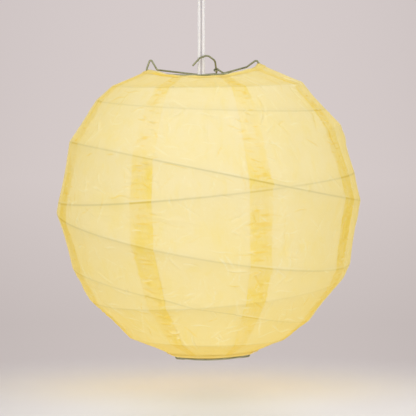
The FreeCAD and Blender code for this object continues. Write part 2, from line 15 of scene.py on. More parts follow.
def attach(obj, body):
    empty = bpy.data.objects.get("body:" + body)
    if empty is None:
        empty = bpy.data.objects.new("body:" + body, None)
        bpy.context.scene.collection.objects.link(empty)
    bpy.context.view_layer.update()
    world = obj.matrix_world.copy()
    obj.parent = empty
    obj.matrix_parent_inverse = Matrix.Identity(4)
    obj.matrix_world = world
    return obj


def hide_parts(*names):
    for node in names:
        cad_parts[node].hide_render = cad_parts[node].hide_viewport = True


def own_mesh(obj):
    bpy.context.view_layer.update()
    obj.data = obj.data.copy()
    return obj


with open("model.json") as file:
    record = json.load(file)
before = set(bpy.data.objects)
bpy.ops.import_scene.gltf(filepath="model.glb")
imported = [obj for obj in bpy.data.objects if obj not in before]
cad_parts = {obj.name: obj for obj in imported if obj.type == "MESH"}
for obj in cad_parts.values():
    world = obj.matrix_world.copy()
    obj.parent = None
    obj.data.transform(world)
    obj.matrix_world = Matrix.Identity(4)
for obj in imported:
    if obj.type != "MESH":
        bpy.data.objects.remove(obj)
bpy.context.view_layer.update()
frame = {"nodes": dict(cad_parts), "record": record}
NODES = frame["nodes"]

# Shade, as in the frame -------------------------------------------------------------------------
LEAN = math.radians(-1.8)
SHADE_ASIDE = 0.0067
SHADE_CENTRE = Vector((SHADE_ASIDE, 0.0, -0.245))
SHADE_PLACE = Matrix.Translation(SHADE_CENTRE) @ Matrix.Rotation(LEAN, 4, "Y")
HOOP_WIRE_MM = 0.6
OUTER_MM = 150.0
INNER_MM = 148.05
# height, rise to the right, rise to the back, sphere, how strongly its painted shade shows through the paper
HOOPS = [
    (119.5, -0.020, 0.020, OUTER_MM, 0.55),
    (100.5, -0.066, 0.030, OUTER_MM, 0.60),
    (35.0, -0.235, -0.038, OUTER_MM, 1.00),
    (18.0, 0.069, 0.012, INNER_MM, 1.00),
    (-33.0, -0.202, 0.073, OUTER_MM, 0.80),
    (-92.0, -0.240, 0.011, INNER_MM, 0.75),
    (-82.0, 0.063, 0.066, OUTER_MM, 0.45),
    (-130.0, -0.031, 0.0, OUTER_MM, 0.70),
]
# where the stretched paper stands off its hoops: degrees from the front, half width, height, half height
# and lift, with heights and lift in millimetres
SWELLS = [
    (85.0, 55.0, -45.0, 55.0, 2.2),
    (85.0, 60.0, -112.0, 35.0, 3.4),
    (-85.0, 55.0, -125.0, 22.0, 2.0),
    (-85.0, 50.0, 100.0, 30.0, 1.2),
    (85.0, 50.0, 118.0, 14.0, 2.6),
    (180.0, 75.0, -130.0, 15.0, 3.0),
    (0.0, 60.0, -130.0, 15.0, 2.5),
]
# a stiff place in the seams on the right: degrees from the front, half width, radius, height
RIGHT_KINK = (85.0, 30.0, 135.5, 75.5)
KINK_OFF_MM = 148.5
PAPER_OFF_HOOP_MM = 1.2
LAYER_MM = 0.45
GORES = 8
GORE_SPAN = 45.0
LAP = 9.0
FIRST_SEAM = 290.0
RIM_MM = 57.0
RIM_HEIGHT_MM = 136.0
RIM_DIP_MM = 8.2
RIM_PEAK_MM = 2.6
RIM_PEAK_DEGREES = 16.0
FOOT_MM = 38.4
FOOT_HEIGHT_MM = -149.9
FOOT_SIDES_DIP_MM = 1.6


# Small helpers -----------------------------------------------------------------------------------
def signed(degrees):
    """The same angle, from -180 to 180 degrees."""
    return (degrees + 180.0) % 360.0 - 180.0


def lattice_noise(u, v, cells_u, cells_v, seed):
    """Smooth noise from -1 to 1 over u and v from 0 to 1, joining up with itself in u."""
    grid = np.random.default_rng(seed).uniform(-1, 1, (cells_u + 1, cells_v + 2))
    grid[cells_u] = grid[0]
    x = (u % 1.0) * cells_u
    y = np.clip(v, 0, 0.999999) * cells_v
    i, j = np.floor(x).astype(int), np.floor(y).astype(int)
    fx, fy = x - i, y - j
    fx, fy = fx * fx * (3 - 2 * fx), fy * fy * (3 - 2 * fy)
    i1 = i + 1
    low = grid[i, j] * (1 - fx) + grid[i1, j] * fx
    high = grid[i, j + 1] * (1 - fx) + grid[i1, j + 1] * fx
    return low * (1 - fy) + high * fy


def sheet_mesh(name, points, uv, fields, drop=None):
    """A quad sheet from points[column, row], with uv and point attributes, less the quads that drop() picks."""
    columns, rows = points.shape[:2]
    index = np.arange(columns * rows).reshape(columns, rows)
    quads = np.stack([index[:-1, :-1], index[1:, :-1], index[1:, 1:], index[:-1, 1:]], -1).reshape(-1, 4)
    flat = points.reshape(-1, 3)
    if drop is not None:
        quads = quads[~drop(flat[quads].mean(1))]
    mesh = bpy.data.meshes.new(name)
    mesh.vertices.add(len(flat))
    mesh.vertices.foreach_set("co", flat.astype(np.float32).ravel())
    mesh.loops.add(quads.size)
    mesh.loops.foreach_set("vertex_index", quads.astype(np.int32).ravel())
    mesh.polygons.add(len(quads))
    mesh.polygons.foreach_set("loop_start", np.arange(0, quads.size, 4, dtype=np.int32))
    mesh.update(calc_edges=True)
    mesh.validate()
    layer = mesh.uv_layers.new(name="UVMap")
    loops = np.zeros(len(mesh.loops), np.int32)
    mesh.loops.foreach_get("vertex_index", loops)
    layer.data.foreach_set("uv", uv.reshape(-1, 2)[loops].astype(np.float32).ravel())
    for field, values in fields.items():
        attribute = mesh.attributes.new(field, "FLOAT", "POINT")
        attribute.data.foreach_set("value", values.reshape(-1).astype(np.float32))
    mesh.polygons.foreach_set("use_smooth", np.ones(len(mesh.polygons), bool))
    made = bpy.data.objects.new(name, mesh)
    bpy.context.scene.collection.objects.link(made)
    return made


def hung(points_mm):
    """Points of the shade's own frame, in millimetres, to where they hang, in metres."""
    matrix = np.array(SHADE_PLACE)
    return points_mm * 0.001 @ matrix[:3, :3].T + matrix[:3, 3]


# Materials ---------------------------------------------------------------------------------------
class Nodes:
    """A material's node tree with short ways to add and join nodes."""

    def __init__(self, name):
        self.material = bpy.data.materials.new(name)
        self.material.use_nodes = True
        self.tree = self.material.node_tree
        self.tree.nodes.clear()
        self.output = self.add("ShaderNodeOutputMaterial")

    def add(self, kind, **settings):
        node = self.tree.nodes.new(kind)
        for key, value in settings.items():
            setattr(node, key, value)
        return node

    def join(self, source, target):
        self.tree.links.new(source, target)

    def noise(self, coordinates, scale, detail=4.0, rough=0.55, distortion=0.0):
        node = self.add("ShaderNodeTexNoise")
        node.inputs["Scale"].default_value = scale
        node.inputs["Detail"].default_value = detail
        node.inputs["Roughness"].default_value = rough
        node.inputs["Distortion"].default_value = distortion
        self.join(coordinates, node.inputs["Vector"])
        return node.outputs["Fac"]

    def stretched(self, coordinates, scale):
        node = self.add("ShaderNodeMapping")
        node.inputs["Scale"].default_value = scale
        self.join(coordinates, node.inputs["Vector"])
        return node.outputs["Vector"]

    def ranged(self, value, low, high, new_low, new_high):
        node = self.add("ShaderNodeMapRange")
        node.inputs["From Min"].default_value = low
        node.inputs["From Max"].default_value = high
        node.inputs["To Min"].default_value = new_low
        node.inputs["To Max"].default_value = new_high
        self.join(value, node.inputs["Value"])
        return node.outputs["Result"]

    def maths(self, operation, a, b):
        node = self.add("ShaderNodeMath", operation=operation)
        for socket, value in zip(node.inputs, (a, b)):
            if isinstance(value, (int, float)):
                socket.default_value = value
            else:
                self.join(value, socket)
        return node.outputs[0]

    def mixed(self, share, a, b):
        """Colour a where share is 0 and b where it is 1."""
        node = self.add("ShaderNodeMix", data_type="RGBA")
        for socket, value in ((node.inputs[0], share), (node.inputs[6], a), (node.inputs[7], b)):
            if isinstance(value, (int, float)):
                socket.default_value = value
            elif isinstance(value, tuple):
                socket.default_value = (*value, 1.0)
            else:
                self.join(value, socket)
        return node.outputs[2]

    def bump(self, height, strength, distance, normal=None):
        node = self.add("ShaderNodeBump")
        node.inputs["Strength"].default_value = strength
        node.inputs["Distance"].default_value = distance
        self.join(height, node.inputs["Height"])
        if normal is not None:
            self.join(normal, node.inputs["Normal"])
        return node.outputs["Normal"]

    def principled(self, **values):
        node = self.add("ShaderNodeBsdfPrincipled")
        for key, value in values.items():
            node.inputs[key].default_value = value
        return node


def moulded(name, low, high, roughness, grain, bump, metallic=0.0, coat=0.0, streak=None):
    """A solid finish whose colour, from low to high, and roughness vary a little with a fine grain."""
    n = Nodes(name)
    place = n.add("ShaderNodeTexCoord").outputs["Object"]
    if streak:
        place = n.stretched(place, streak)
    fine = n.noise(place, grain, 5.0, 0.6)
    broad = n.noise(place, grain * 0.12, 3.0, 0.5, 0.4)
    shader = n.principled(Metallic=metallic)
    shader.inputs["Coat Weight"].default_value = coat
    shader.inputs["Coat Roughness"].default_value = 0.15
    blend = n.maths("ADD", n.maths("MULTIPLY", fine, 0.5), n.maths("MULTIPLY", broad, 0.5))
    share = n.ranged(blend, 0.35, 0.65, 0.0, 1.0)
    n.join(n.mixed(share, low, high), shader.inputs["Base Color"])
    n.join(n.ranged(fine, 0.3, 0.7, roughness * 0.85, min(1.0, roughness * 1.2)), shader.inputs["Roughness"])
    n.join(n.bump(fine, bump, 0.0002), shader.inputs["Normal"])
    n.join(shader.outputs[0], n.output.inputs["Surface"])
    return n.material


# paper colours: painted light high on the shade, painted shade low on it, fibres and painted highlight along a
# crinkle, where doubled or glued, and painted shade along a crease or fold, with glue and wear on the hems
PAPER_LIT_HIGH = (0.955, 0.910, 0.720)
PAPER_SHADED_LOW = (0.950, 0.864, 0.482)
PAPER_FIBRE_AND_HIGHLIGHT = (0.985, 0.960, 0.780)
PAPER_DEEP = (0.940, 0.820, 0.240)
PAPER_SHADE_GLUE_AND_WEAR = (0.930, 0.740, 0.110)
WIRE_SHADE = (0.42, 0.42, 0.20)
WIRE_SHADE_STRENGTH = 0.30


def veins(n, place, stretch, scale, sharp):
    """Thin wandering lines, 1 along them and 0 away from them."""
    field = n.noise(n.stretched(place, stretch), scale, 3.0, 0.5, 0.9)
    fold = n.maths("ABSOLUTE", n.maths("SUBTRACT", field, 0.5), 0.0)
    return n.ranged(fold, 0.0, sharp, 1.0, 0.0)


def paper(name, pale, low, through):
    """Thin laid paper, with painted light high up (pale) and painted shade lower down (low), that lets a share
    of the light through.
    """
    n = Nodes(name)
    place = n.add("ShaderNodeUVMap", uv_map="UVMap").outputs["UV"]
    split = n.add("ShaderNodeSeparateXYZ")
    n.join(place, split.inputs[0])
    lap = n.add("ShaderNodeAttribute", attribute_name="lap").outputs["Fac"]
    wire = n.add("ShaderNodeAttribute", attribute_name="wire").outputs["Fac"]
    fold = n.add("ShaderNodeAttribute", attribute_name="fold").outputs["Fac"]
    cloud = n.noise(place, 16.0, 4.0, 0.6)
    blotch = n.noise(n.stretched(place, (1.0, 0.6, 1.0)), 75.0, 5.0, 0.65, 0.5)
    patch = n.noise(n.stretched(place, (1.0, 0.5, 1.0)), 22.0, 2.0, 0.5)
    fibre = n.noise(n.stretched(place, (1.0, 7.0, 1.0)), 120.0, 6.0, 0.65, 0.6)
    fleck = n.noise(place, 900.0, 3.0, 0.6)
    light = n.add("ShaderNodeAttribute", attribute_name="light").outputs["Fac"]
    busy = n.ranged(n.noise(place, 26.0, 2.0, 0.5), 0.42, 0.62, 0.0, 1.0)
    crease = n.maths("MULTIPLY", veins(n, place, (1.0, 0.55, 1.0), 85.0, 0.024), busy)
    # painted light and shade: paler near the rim, deeper in colour lower down
    colour = n.mixed(n.ranged(split.outputs["Y"], 0.05, 0.38, 0.0, 1.0), pale, low)
    colour = n.mixed(n.ranged(cloud, 0.42, 0.66, 0.0, 0.20), colour, PAPER_DEEP)
    colour = n.mixed(n.ranged(blotch, 0.50, 0.72, 0.0, 0.28), colour, PAPER_DEEP)
    glue = n.maths("MULTIPLY", lap, n.ranged(patch, 0.36, 0.58, 0.30, 1.0))
    glue = n.maths("MULTIPLY", glue, n.ranged(blotch, 0.34, 0.60, 0.45, 1.25))
    colour = n.mixed(glue, colour, PAPER_DEEP)
    # painted highlight along the crinkles' wandering veins
    colour = n.mixed(n.maths("MULTIPLY", crease, 0.30), colour, PAPER_FIBRE_AND_HIGHLIGHT)
    # painted highlight where the light attribute marks it, along creases and just beside the hoop lines
    colour = n.mixed(light, colour, PAPER_FIBRE_AND_HIGHLIGHT)
    # painted shade along creases, puckers and the hoops' lines on the laps; on the hems, glue and wear
    colour = n.mixed(fold, colour, PAPER_SHADE_GLUE_AND_WEAR)
    # the paper's own paler fibres
    colour = n.mixed(n.ranged(fibre, 0.52, 0.75, 0.0, 0.16), colour, PAPER_FIBRE_AND_HIGHLIGHT)
    colour = n.mixed(n.ranged(fleck, 0.55, 0.8, 0.0, 0.10), colour, PAPER_DEEP)
    # painted shade of the hoops seen through the paper
    colour = n.mixed(wire, colour, WIRE_SHADE)
    face = n.principled(Roughness=0.82)
    face.inputs["Specular IOR Level"].default_value = 0.25
    face.inputs["Sheen Weight"].default_value = 0.08
    face.inputs["Coat Weight"].default_value = 1.0
    face.inputs["Coat Roughness"].default_value = 1.0
    face.inputs["Coat IOR"].default_value = 1.03
    face.inputs["Coat Tint"].default_value = (1.0, 0.96, 0.80, 1.0)
    n.join(colour, face.inputs["Base Color"])
    glow = n.add("ShaderNodeBsdfTranslucent")
    n.join(colour, glow.inputs["Color"])
    grain = n.maths("ADD", n.maths("MULTIPLY", fibre, 0.7), n.maths("MULTIPLY", fleck, 0.3))
    rough = n.bump(grain, 0.35, 0.0004)
    rough = n.bump(blotch, 0.35, 0.0010, rough)
    n.join(rough, face.inputs["Normal"])
    n.join(rough, glow.inputs["Normal"])
    both = n.add("ShaderNodeMixShader")
    both.inputs[0].default_value = through
    n.join(face.outputs[0], both.inputs[1])
    n.join(glow.outputs[0], both.inputs[2])
    n.join(both.outputs[0], n.output.inputs["Surface"])
    return n.material


SHADE_PAPER = paper("shade_paper", PAPER_LIT_HIGH, PAPER_SHADED_LOW, 0.36)
HEM_PAPER = paper("hem_paper", (0.950, 0.890, 0.600), (0.950, 0.885, 0.560), 0.32)
DRAW_MARKS = (1.0, 1.0, 0.25)
DRAWN_WIRE = moulded(
    "drawn_wire", (0.20, 0.21, 0.12), (0.36, 0.36, 0.24), 0.42, 900.0, 0.15, metallic=0.85, streak=DRAW_MARKS
)
HOOP_STEEL = moulded("hoop_steel", (0.20, 0.20, 0.11), (0.34, 0.33, 0.20), 0.5, 700.0, 0.15, metallic=0.7)
FINISHES = {"ring_wire": DRAWN_WIRE, "expander_wire": DRAWN_WIRE, "hoop_wire": HOOP_STEEL}
# slot, two colours, roughness, grain, bump, metallic, coat
SOLID_FINISHES = [
    ("copper", (0.62, 0.27, 0.14), (0.80, 0.42, 0.25), 0.35, 900.0, 0.1, 1.0, 0.0),
    ("holder_plastic", (0.80, 0.80, 0.78), (0.86, 0.86, 0.84), 0.28, 500.0, 0.06, 0.0, 0.2),
    ("bush_plastic", (0.76, 0.76, 0.74), (0.83, 0.83, 0.81), 0.5, 600.0, 0.1, 0.0, 0.0),
    ("porcelain", (0.84, 0.82, 0.77), (0.90, 0.89, 0.85), 0.16, 250.0, 0.05, 0.0, 0.5),
    ("screw_steel", (0.50, 0.50, 0.50), (0.66, 0.66, 0.65), 0.3, 900.0, 0.1, 1.0, 0.0),
    ("contact_brass", (0.60, 0.42, 0.14), (0.80, 0.62, 0.28), 0.32, 800.0, 0.1, 1.0, 0.0),
    ("lamp_cap_metal", (0.55, 0.55, 0.56), (0.72, 0.72, 0.73), 0.28, 700.0, 0.1, 1.0, 0.0),
    ("lamp_insulator", (0.02, 0.02, 0.025), (0.05, 0.05, 0.055), 0.2, 500.0, 0.05, 0.0, 0.0),
    ("lamp_body", (0.80, 0.80, 0.79), (0.86, 0.86, 0.85), 0.42, 600.0, 0.08, 0.0, 0.0),
    ("lamp_diffuser", (0.90, 0.89, 0.86), (0.94, 0.93, 0.91), 0.38, 800.0, 0.08, 0.0, 0.1),
    ("lamp_board", (0.70, 0.72, 0.71), (0.82, 0.84, 0.83), 0.45, 500.0, 0.05, 0.0, 0.0),
    ("led", (0.80, 0.55, 0.06), (0.92, 0.72, 0.16), 0.4, 900.0, 0.05, 0.0, 0.0),
    ("rose_plastic", (0.82, 0.82, 0.81), (0.88, 0.88, 0.87), 0.26, 450.0, 0.06, 0.0, 0.2),
    ("rose_inner_plastic", (0.70, 0.70, 0.67), (0.78, 0.78, 0.76), 0.5, 600.0, 0.1, 0.0, 0.0),
]
for slot, *settings in SOLID_FINISHES:
    FINISHES[slot] = moulded(slot, *settings)
for part in frame["record"]["subparts"]:
    finish = FINISHES.get(part["material_slot"])
    if finish:
        data = NODES[part["node"]].data
        data.materials.clear()
        data.materials.append(finish)


# Camera and light --------------------------------------------------------------------------------
SENSOR_MM = 36.0
LENS_MM = 164.0
CAMERA_PLACE = (SHADE_ASIDE, -1.9, -0.125)
CAMERA_TARGET = (0.0068, 0.0, -0.2487)
camera_data = bpy.data.cameras.new("camera")
camera_data.sensor_width = SENSOR_MM
camera_data.lens = LENS_MM
camera = bpy.data.objects.new("camera", camera_data)
bpy.context.scene.collection.objects.link(camera)
camera.location = CAMERA_PLACE
aim = Vector(CAMERA_TARGET) - camera.location
camera.rotation_euler = aim.to_track_quat("-Z", "Y").to_euler()
camera_data.clip_start = 0.05
camera_data.clip_end = 20.0
bpy.context.scene.camera = camera
bpy.context.scene.view_settings.view_transform = "Standard"
bpy.context.scene.view_settings.look = "None"


def softbox(name, place, target, size, power, colour):
    """A square light facing its target, out of the camera's sight."""
    data = bpy.data.lights.new(name, "AREA")
    data.shape = "SQUARE"
    data.size = size
    data.energy = power
    data.color = colour
    lamp = bpy.data.objects.new(name, data)
    bpy.context.scene.collection.objects.link(lamp)
    lamp.location = place
    lamp.rotation_euler = (Vector(target) - Vector(place)).to_track_quat("-Z", "Y").to_euler()
    lamp.visible_camera = False


softbox("softbox_left", (-1.5, -1.9, 0.5), (0, 0, -0.25), 1.4, 13.6, (1.0, 0.985, 0.97))
softbox("softbox_right", (1.5, -1.9, 0.3), (0, 0, -0.25), 1.4, 12.5, (1.0, 0.985, 0.97))
softbox("softbox_top", (0, -0.2, 1.7), (0, 0, -0.4), 1.8, 7.0, (1.0, 0.99, 0.98))
softbox("softbox_low", (0.1, -1.5, -0.30), (0, 0, -0.36), 0.7, 1.7, (1.0, 0.955, 0.76))
softbox("softbox_under", (0.0, -0.05, -0.424), (0, -0.05, 0), 0.55, 0.34, (1.0, 0.97, 0.90))
softbox("softbox_back", (0.3, 2.2, 0.5), (0, 0, -0.25), 1.6, 9.0, (1.0, 0.985, 0.97))


def sky():
    """A pale surround for the camera, with painted shade in a darker band low down and painted light just behind
    the lantern, and a soft light on the part.
    """
    world = bpy.data.worlds.new("surround")
    bpy.context.scene.world = world
    world.use_nodes = True
    tree = world.node_tree
    tree.nodes.clear()
    out = tree.nodes.new("ShaderNodeOutputWorld")
    back = tree.nodes.new("ShaderNodeBackground")
    place = tree.nodes.new("ShaderNodeTexCoord")
    split = tree.nodes.new("ShaderNodeSeparateXYZ")
    tree.links.new(place.outputs["Generated"], split.inputs[0])
    backdrop_and_sweep_shade = tree.nodes.new("ShaderNodeValToRGB")
    height = tree.nodes.new("ShaderNodeMapRange")
    height.inputs["From Min"].default_value = -0.19
    height.inputs["From Max"].default_value = 0.06
    tree.links.new(split.outputs["Z"], height.inputs["Value"])
    tree.links.new(height.outputs[0], backdrop_and_sweep_shade.inputs[0])
    # painted shade: a darker band low down, where a backdrop's sweep would turn away from the light
    stops = backdrop_and_sweep_shade.color_ramp.elements
    stops[0].position, stops[0].color = 0.0, (0.56, 0.505, 0.49, 1)
    stops[1].position, stops[1].color = 1.0, (0.625, 0.560, 0.555, 1)
    for position, colour in ((0.26, (0.550, 0.490, 0.478, 1)), (0.56, (0.638, 0.570, 0.560, 1))):
        stop = stops.new(position)
        stop.color = colour
    # painted light: a little brighter straight behind the lantern
    aside = tree.nodes.new("ShaderNodeMath")
    aside.operation = "MULTIPLY"
    tree.links.new(split.outputs["X"], aside.inputs[0])
    tree.links.new(split.outputs["X"], aside.inputs[1])
    light = tree.nodes.new("ShaderNodeMapRange")
    light.inputs["From Min"].default_value = 0.0
    light.inputs["From Max"].default_value = 0.012
    light.inputs["To Min"].default_value = 1.07
    light.inputs["To Max"].default_value = 1.0
    tree.links.new(aside.outputs[0], light.inputs["Value"])
    tree.links.new(light.outputs[0], back.inputs["Strength"])
    tree.links.new(backdrop_and_sweep_shade.outputs[0], back.inputs["Color"])
    soft = tree.nodes.new("ShaderNodeBackground")
    soft.inputs["Color"].default_value = (1.0, 0.985, 0.97, 1)
    soft.inputs["Strength"].default_value = 0.76
    seen = tree.nodes.new("ShaderNodeLightPath")
    both = tree.nodes.new("ShaderNodeMixShader")
    tree.links.new(seen.outputs["Is Camera Ray"], both.inputs[0])
    tree.links.new(soft.outputs[0], both.inputs[1])
    tree.links.new(back.outputs[0], both.inputs[2])
    tree.links.new(both.outputs[0], out.inputs["Surface"])


sky()


FLOOR_HEIGHT = -0.430
FLOOR_MIDDLE = -0.35
FLOOR_HALF_WIDTH = 1.1
FLOOR_STEPS = 40
# each patch: its middle, and how far from it the patch has faded out and is still full
BOARD_SHOWN = ((SHADE_ASIDE, -0.40, FLOOR_HEIGHT), 0.66, 0.25)
# painted light: a yellow pool where the lantern's light falls on the board, and a brighter bluish pool in front
# of it that paints over its shadow and yellow bounce
PAINTED_WARM_LIGHT_POOL = ((SHADE_ASIDE, 0.04 * 1.5, FLOOR_HEIGHT), 0.30, 0.0)
PAINTED_COOL_LIGHT_POOL = ((SHADE_ASIDE, -0.13, FLOOR_HEIGHT), 0.17, 0.0)
SPECK_SCALE = 9000.0


def patch_share(n, place, middle, gone, full):
    """1 at full or nearer to the middle, 0 at gone or further, and smooth between them."""
    away = n.add("ShaderNodeVectorMath", operation="DISTANCE")
    n.join(place, away.inputs[0])
    away.inputs[1].default_value = middle
    share = n.add("ShaderNodeMapRange", interpolation_type="SMOOTHSTEP")
    share.inputs["From Min"].default_value = gone
    share.inputs["From Max"].default_value = full
    n.join(away.outputs["Value"], share.inputs["Value"])
    return share.outputs[0]


def floor():
    """A pale board under the lantern, with a yellow pool of painted light and a brighter bluish pool of painted
    light in front of it, whose edge thins out in specks.
    """
    spread = np.linspace(-FLOOR_HALF_WIDTH, FLOOR_HALF_WIDTH, FLOOR_STEPS)
    x, y = np.meshgrid(spread, spread + FLOOR_MIDDLE, indexing="ij")
    points = np.stack([x, y, np.full_like(x, FLOOR_HEIGHT)], -1)
    uv = np.stack([x, y], -1)
    board = sheet_mesh("floor", points, uv, {})
    n = Nodes("floor_board")
    place = n.add("ShaderNodeTexCoord").outputs["Object"]
    shown = patch_share(n, place, *BOARD_SHOWN)
    face = n.principled(Roughness=0.42)
    face.inputs["Specular IOR Level"].default_value = 0.5
    grain = n.noise(place, 300.0, 4.0, 0.6)
    plain = n.mixed(n.ranged(grain, 0.3, 0.7, 0.0, 1.0), (0.570, 0.540, 0.545), (0.600, 0.570, 0.575))
    # the two painted light pools mixed into the board's colour
    warm_light_share = patch_share(n, n.stretched(place, (1.0, 1.5, 1.0)), *PAINTED_WARM_LIGHT_POOL)
    cool_light_share = patch_share(n, place, *PAINTED_COOL_LIGHT_POOL)
    warm_lit = n.mixed(warm_light_share, plain, (0.83, 0.69, 0.38))
    n.join(n.mixed(cool_light_share, warm_lit, (0.76, 0.765, 0.82)), face.inputs["Base Color"])
    clear = n.add("ShaderNodeBsdfTransparent")
    both = n.add("ShaderNodeMixShader")
    speck = n.add("ShaderNodeTexWhiteNoise")
    n.join(n.stretched(place, (SPECK_SCALE, SPECK_SCALE, 1.0)), speck.inputs["Vector"])
    n.join(n.maths("GREATER_THAN", shown, speck.outputs["Value"]), both.inputs[0])
    n.join(clear.outputs[0], both.inputs[1])
    n.join(face.outputs[0], both.inputs[2])
    n.join(both.outputs[0], n.output.inputs["Surface"])
    board.data.materials.append(n.material)


floor()


# Cord --------------------------------------------------------------------------------------------
CORD_LOBE = 0.00185
CORD_ROUTE = [(0, 0, -0.011), (0, 0, -0.055), (0, 0, -0.083), (0, 0, -0.127)]
CORD_TURN = np.radians(7)
GROOVE_HALF_WIDTH = 0.00075


def cord():
    """Twin flex: a figure-eight section carried along its route, turned a little between its ends."""
    data = bpy.data.curves.new("cord_route", "CURVE")
    data.dimensions = "3D"
    spline = data.splines.new("NURBS")
    spline.points.add(len(CORD_ROUTE) - 1)
    for point, place in zip(spline.points, CORD_ROUTE):
        point.co = (*place, 1.0)
    spline.order_u = 3
    spline.use_endpoint_u = True
    spline.resolution_u = 24
    route = bpy.data.objects.new("cord_route", data)
    bpy.context.scene.collection.objects.link(route)
    bpy.context.view_layer.update()
    drawn = route.evaluated_get(bpy.context.evaluated_depsgraph_get())
    line = bpy.data.meshes.new_from_object(drawn)
    path = np.array([v.co for v in line.vertices])
    bpy.data.objects.remove(route)
    lobe = np.radians(np.linspace(-144, 144, 17))
    right = np.stack([CORD_LOBE + CORD_LOBE * np.cos(lobe), CORD_LOBE * np.sin(lobe)], -1)
    ring = np.concatenate([right, -right])
    ring = np.concatenate([ring, ring[:1]])
    along = np.linspace(0, 1, len(path))
    turn = CORD_TURN * np.sin(np.pi * along) ** 2
    columns = []
    for x, y in ring:
        across = path[:, 0] + x * np.cos(turn) - y * np.sin(turn)
        back = path[:, 1] + x * np.sin(turn) + y * np.cos(turn)
        columns.append(np.stack([across, back, path[:, 2]], -1))
    points = np.array(columns)
    uv = np.stack(np.meshgrid(np.linspace(0, 0.02, len(ring)), path[:, 2], indexing="ij"), -1)
    # painted shade in the groove between the cord's two lobes
    groove_shade_falloff = np.exp(-((np.abs(ring[:, 0]) / GROOVE_HALF_WIDTH) ** 2))
    piece = sheet_mesh("cord_flex", points, uv, {"groove_shade": np.repeat(groove_shade_falloff[:, None], len(path), 1)})
    n = Nodes("cord_sheath")
    place = n.add("ShaderNodeTexCoord").outputs["Object"]
    strand = n.noise(n.stretched(place, (1.0, 1.0, 0.06)), 900.0, 3.0, 0.6)
    fine = n.noise(place, 700.0, 4.0, 0.6)
    face = n.principled(Roughness=0.3)
    face.inputs["Specular IOR Level"].default_value = 0.5
    face.inputs["Coat Weight"].default_value = 0.15
    groove_shade = n.add("ShaderNodeAttribute", attribute_name="groove_shade").outputs["Fac"]
    sheath = n.mixed(n.ranged(strand, 0.35, 0.65, 0.0, 1.0), (0.74, 0.72, 0.76), (0.80, 0.79, 0.82))
    n.join(n.mixed(n.maths("MULTIPLY", groove_shade, 0.85), sheath, (0.30, 0.26, 0.29)), face.inputs["Base Color"])
    n.join(n.ranged(fine, 0.3, 0.7, 0.25, 0.40), face.inputs["Roughness"])
    n.join(n.bump(strand, 0.12, 0.0002), face.inputs["Normal"])
    n.join(face.outputs[0], n.output.inputs["Surface"])
    piece.data.materials.append(n.material)
    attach(piece, "pendant")
    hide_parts("cord")


cord()


# Paper -------------------------------------------------------------------------------------------
def rim_place(azimuth):
    """Radius and height of the paper's top edge, which dips front and back and peaks over the right hook."""
    dip = RIM_DIP_MM * np.sin(azimuth) ** 2
    aside = np.degrees(np.angle(np.exp(1j * azimuth)))
    peak = RIM_PEAK_MM * np.exp(-((aside / RIM_PEAK_DEGREES) ** 2))
    wave = 0.35 * np.sin(7 * azimuth + 1.0) + 0.25 * np.sin(17 * azimuth)
    return RIM_MM, RIM_HEIGHT_MM - dip + peak + wave


def hoop_at(hoop, azimuth, lift):
    """Radius and height of a hoop's outer side on one meridian, raised by lift."""
    height, right, back, sphere = hoop[:4]
    slope = right * math.cos(azimuth) + back * math.sin(azimuth)
    reach = sphere + lift
    square = reach * reach * (1 + slope * slope) - height * height
    radius = (math.sqrt(square) - height * slope) / (1 + slope * slope)
    return radius, height + slope * radius


def swell(front, height):
    """How far the paper stands off its hoops there."""
    lift = 0.0
    for centre, width, middle, tall, amount in SWELLS:
        aside = signed(front - centre)
        lift += amount * math.exp(-((aside / width) ** 2) - ((height - middle) / tall) ** 2)
    return lift


def knots_at(azimuth, lift):
    """Radius and height of the rim, the hoops that hold the paper out and the foot, down one meridian.

    Stretched paper bulges outwards only, so a hoop inside the line between its neighbours is left out.
    """
    front = math.degrees(azimuth) + 90.0
    found = []
    for hoop in HOOPS:
        radius, height = hoop_at(hoop, azimuth, HOOP_WIRE_MM + PAPER_OFF_HOOP_MM + lift)
        grown = 1 + swell(front, height) / math.hypot(radius, height)
        found.append((radius * grown, height * grown))
    centre, width, radius, height = RIGHT_KINK
    full = math.hypot(radius, height)
    share = math.exp(-(signed(front - centre) / width) ** 2)
    grown = (KINK_OFF_MM + (full - KINK_OFF_MM) * share + lift) / full
    found.append((radius * grown, height * grown))
    found.sort(key=lambda knot: -math.atan2(knot[1], knot[0]))
    radius, height = rim_place(azimuth)
    chain = [(radius + lift, height)]
    foot = FOOT_HEIGHT_MM - FOOT_SIDES_DIP_MM * abs(math.cos(azimuth)) ** 6
    for knot in found + [(FOOT_MM + lift, foot)]:
        while len(chain) > 1:
            (ax, az), (bx, bz) = chain[-2], chain[-1]
            if (bx - ax) * (knot[1] - az) - (bz - az) * (knot[0] - ax) < 0:
                break
            chain.pop()
        chain.append(knot)
    return np.array(chain)


FINE_MM = 0.6
SOFTEN = np.exp(-0.5 * (np.arange(-6, 7) / 1.7) ** 2)
SOFTEN /= SOFTEN.sum()


